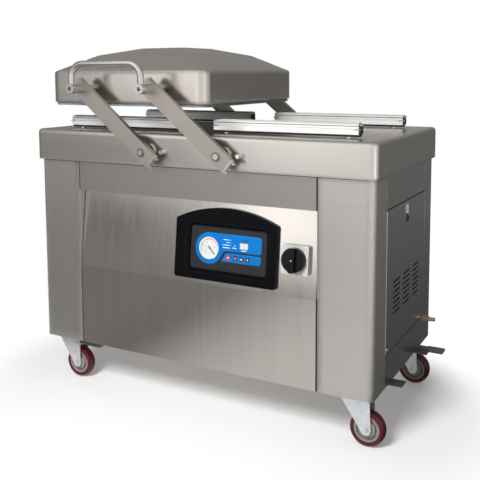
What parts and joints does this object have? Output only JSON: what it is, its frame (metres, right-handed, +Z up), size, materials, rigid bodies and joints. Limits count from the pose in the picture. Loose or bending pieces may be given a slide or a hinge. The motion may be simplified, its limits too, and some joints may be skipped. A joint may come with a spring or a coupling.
{
  "type": "double-chamber vacuum sealer",
  "caption": "Floor-standing vacuum packing machine: steel cabinet on casters, swing lid on parallel arms over two sealing beds, control panel with gauge and rotary switch.",
  "frame": {"origin": "on the floor, below the middle of the bed table and of the four caster swivels", "axes": "+X to the machine's right as its user faces it, +Y to its back, +Z up"},
  "size_m": [1.201, 0.7316, 1.0695],
  "materials": {
    "stainless": "brushed",
    "bar_aluminium": "satin extrusion",
    "black_plastic": "moulded",
    "plate_grey": "matt",
    "switch_grey": "moulded",
    "red_key": "gloss",
    "black_key": "gloss",
    "gauge_white": "matt dial",
    "needle_black": "matt",
    "gasket_rubber": "matt",
    "pad_rubber": "matt",
    "zinc_steel": "zinc plated",
    "maroon_tyre": "polyurethane",
    "black_steel": "painted",
    "brass_fitting": "turned",
    "pump_casing": "cast",
    "motor_paint": "painted",
    "pedal_grey": "moulded",
    "steel_shaft": "turned"
  },
  "bodies": {
    "root": {"bed_table": "stainless", "shaft_bushes": "steel_shaft", "stop_bolts": "zinc_steel", "bar_posts": "steel_shaft", "suction_ports": "stainless", "front_left_post": "stainless", "front_right_post": "stainless", "front_fascia": "stainless", "front_panel": "stainless", "left_side_panel": "stainless", "right_upper_panel": "stainless", "right_lower_panel": "stainless", "rear_panel": "stainless", "base_pan": "stainless", "tie_down_brackets": "black_steel", "gas_inlet_fitting": "brass_fitting", "control_bezel": "black_plastic", "control_plate": "plate_grey", "gauge_body": "gauge_white", "switch_base": "switch_grey", "vacuum_pump": "pump_casing", "pump_motor": "motor_paint", "seal_transformer": "black_steel", "caster_plates": "zinc_steel"},
    "left_arms": {"left_front_arm": "stainless", "left_rear_arm": "stainless", "left_shaft": "steel_shaft", "left_arm_fixings": "zinc_steel"},
    "right_arms": {"right_front_arm": "stainless", "right_rear_arm": "stainless", "right_shaft": "steel_shaft", "right_arm_fixings": "zinc_steel"},
    "lid": {"lid_shell": "stainless", "lid_gasket": "gasket_rubber", "seal_pads": "pad_rubber", "pad_holders": "bar_aluminium", "pivot_studs": "steel_shaft", "handle": "stainless"},
    "access_door": {"access_panel": "stainless"},
    "door_latch": {"panel_latch": "zinc_steel"},
    "needle": {"gauge_needle": "needle_black"},
    "knob": {"switch_knob": "black_plastic"},
    "stop_key_cap": {"stop_key": "red_key"},
    "first_key_cap": {"first_key": "black_key"},
    "second_key_cap": {"second_key": "black_key"},
    "third_key_cap": {"third_key": "black_key"},
    "front_left_bar": {"front_left_seal_bar": "bar_aluminium"},
    "front_left_swivel": {"front_left_fork": "zinc_steel"},
    "front_left_roller": {"front_left_wheel": "maroon_tyre"},
    "front_left_brake": {"front_left_brake_pedal": "pedal_grey"},
    "front_right_bar": {"front_right_seal_bar": "bar_aluminium"},
    "front_right_swivel": {"front_right_fork": "zinc_steel"},
    "front_right_roller": {"front_right_wheel": "maroon_tyre"},
    "rear_left_bar": {"rear_left_seal_bar": "bar_aluminium"},
    "rear_left_swivel": {"rear_left_fork": "zinc_steel"},
    "rear_left_roller": {"rear_left_wheel": "maroon_tyre"},
    "rear_right_bar": {"rear_right_seal_bar": "bar_aluminium"},
    "rear_right_swivel": {"rear_right_fork": "zinc_steel"},
    "rear_right_roller": {"rear_right_wheel": "maroon_tyre"},
    "rear_right_brake": {"rear_right_brake_pedal": "pedal_grey"}
  },
  "joints": [
    {"name": "lid_swing", "type": "hinge", "parent": "root", "child": "left_arms", "pos_m": [-0.1245, 0, 0.765], "axis": [0, 1, 0], "range_deg": [-17.75, 118.75]},
    {"name": "right_arm_swing", "type": "hinge", "parent": "root", "child": "right_arms", "pos_m": [0.1245, 0, 0.765], "axis": [0, 1, 0], "range_deg": [-17.75, 118.75]},
    {"name": "lid_level", "type": "hinge", "parent": "left_arms", "child": "lid", "pos_m": [-0.34441, 0, 0.94628], "axis": [0, 1, 0], "range_deg": [-118.75, 17.75]},
    {"name": "access_tilt", "type": "hinge", "parent": "root", "child": "access_door", "pos_m": [0.55, 0, 0.2349], "axis": [0, 1, 0], "range_deg": [0, 30]},
    {"name": "latch_turn", "type": "hinge", "parent": "access_door", "child": "door_latch", "pos_m": [0.552, 0.009, 0.612], "axis": [1, 0, 0], "range_deg": [-90, 90]},
    {"name": "gauge_read", "type": "hinge", "parent": "root", "child": "needle", "pos_m": [0.059, -0.27748, 0.49395], "axis": [0, -0.9937, 0.1123], "range_deg": [0, 270]},
    {"name": "switch_turn", "type": "hinge", "parent": "root", "child": "knob", "pos_m": [0.335, -0.27748, 0.49395], "axis": [0, -0.9937, 0.1123], "range_deg": [-90, 0]},
    {"name": "stop_key_press", "type": "slide", "parent": "root", "child": "stop_key_cap", "axis": [0, 0.9937, -0.1123], "range_m": [0, 0.001], "stiffness_N_per_m": 400},
    {"name": "first_key_press", "type": "slide", "parent": "root", "child": "first_key_cap", "axis": [0, 0.9937, -0.1123], "range_m": [0, 0.001], "stiffness_N_per_m": 400},
    {"name": "second_key_press", "type": "slide", "parent": "root", "child": "second_key_cap", "axis": [0, 0.9937, -0.1123], "range_m": [0, 0.001], "stiffness_N_per_m": 400},
    {"name": "third_key_press", "type": "slide", "parent": "root", "child": "third_key_cap", "axis": [0, 0.9937, -0.1123], "range_m": [0, 0.001], "stiffness_N_per_m": 400},
    {"name": "front_left_bar_lift", "type": "slide", "parent": "root", "child": "front_left_bar", "axis": [0, 0, 1], "range_m": [0, 0.008]},
    {"name": "front_left_swivel_turn", "type": "hinge", "parent": "root", "child": "front_left_swivel", "pos_m": [-0.491, -0.228, 0.141], "axis": [0, 0, 1], "continuous": true},
    {"name": "front_left_roll", "type": "hinge", "parent": "front_left_swivel", "child": "front_left_roller", "pos_m": [-0.461, -0.228, 0.049], "axis": [0, 1, 0], "continuous": true},
    {"name": "front_left_brake_press", "type": "hinge", "parent": "front_left_swivel", "child": "front_left_brake", "pos_m": [-0.461, -0.228, 0.1167], "axis": [0, 1, 0], "range_deg": [0, 12]},
    {"name": "front_right_bar_lift", "type": "slide", "parent": "root", "child": "front_right_bar", "axis": [0, 0, 1], "range_m": [0, 0.008]},
    {"name": "front_right_swivel_turn", "type": "hinge", "parent": "root", "child": "front_right_swivel", "pos_m": [0.491, -0.228, 0.141], "axis": [0, 0, 1], "continuous": true},
    {"name": "front_right_roll", "type": "hinge", "parent": "front_right_swivel", "child": "front_right_roller", "pos_m": [0.521, -0.228, 0.049], "axis": [0, 1, 0], "continuous": true},
    {"name": "rear_left_bar_lift", "type": "slide", "parent": "root", "child": "rear_left_bar", "axis": [0, 0, 1], "range_m": [0, 0.008]},
    {"name": "rear_left_swivel_turn", "type": "hinge", "parent": "root", "child": "rear_left_swivel", "pos_m": [-0.491, 0.228, 0.141], "axis": [0, 0, 1], "continuous": true},
    {"name": "rear_left_roll", "type": "hinge", "parent": "rear_left_swivel", "child": "rear_left_roller", "pos_m": [-0.461, 0.228, 0.049], "axis": [0, 1, 0], "continuous": true},
    {"name": "rear_right_bar_lift", "type": "slide", "parent": "root", "child": "rear_right_bar", "axis": [0, 0, 1], "range_m": [0, 0.008]},
    {"name": "rear_right_swivel_turn", "type": "hinge", "parent": "root", "child": "rear_right_swivel", "pos_m": [0.491, 0.228, 0.141], "axis": [0, 0, 1], "continuous": true},
    {"name": "rear_right_roll", "type": "hinge", "parent": "rear_right_swivel", "child": "rear_right_roller", "pos_m": [0.521, 0.228, 0.049], "axis": [0, 1, 0], "continuous": true},
    {"name": "rear_right_brake_press", "type": "hinge", "parent": "rear_right_swivel", "child": "rear_right_brake", "pos_m": [0.521, 0.228, 0.1167], "axis": [0, 1, 0], "range_deg": [0, 12]}
  ],
  "couplings": [
    {"joint": "right_arm_swing", "follows": "lid_swing", "ratio": 1},
    {"joint": "lid_level", "follows": "lid_swing", "ratio": -1}
  ]
}
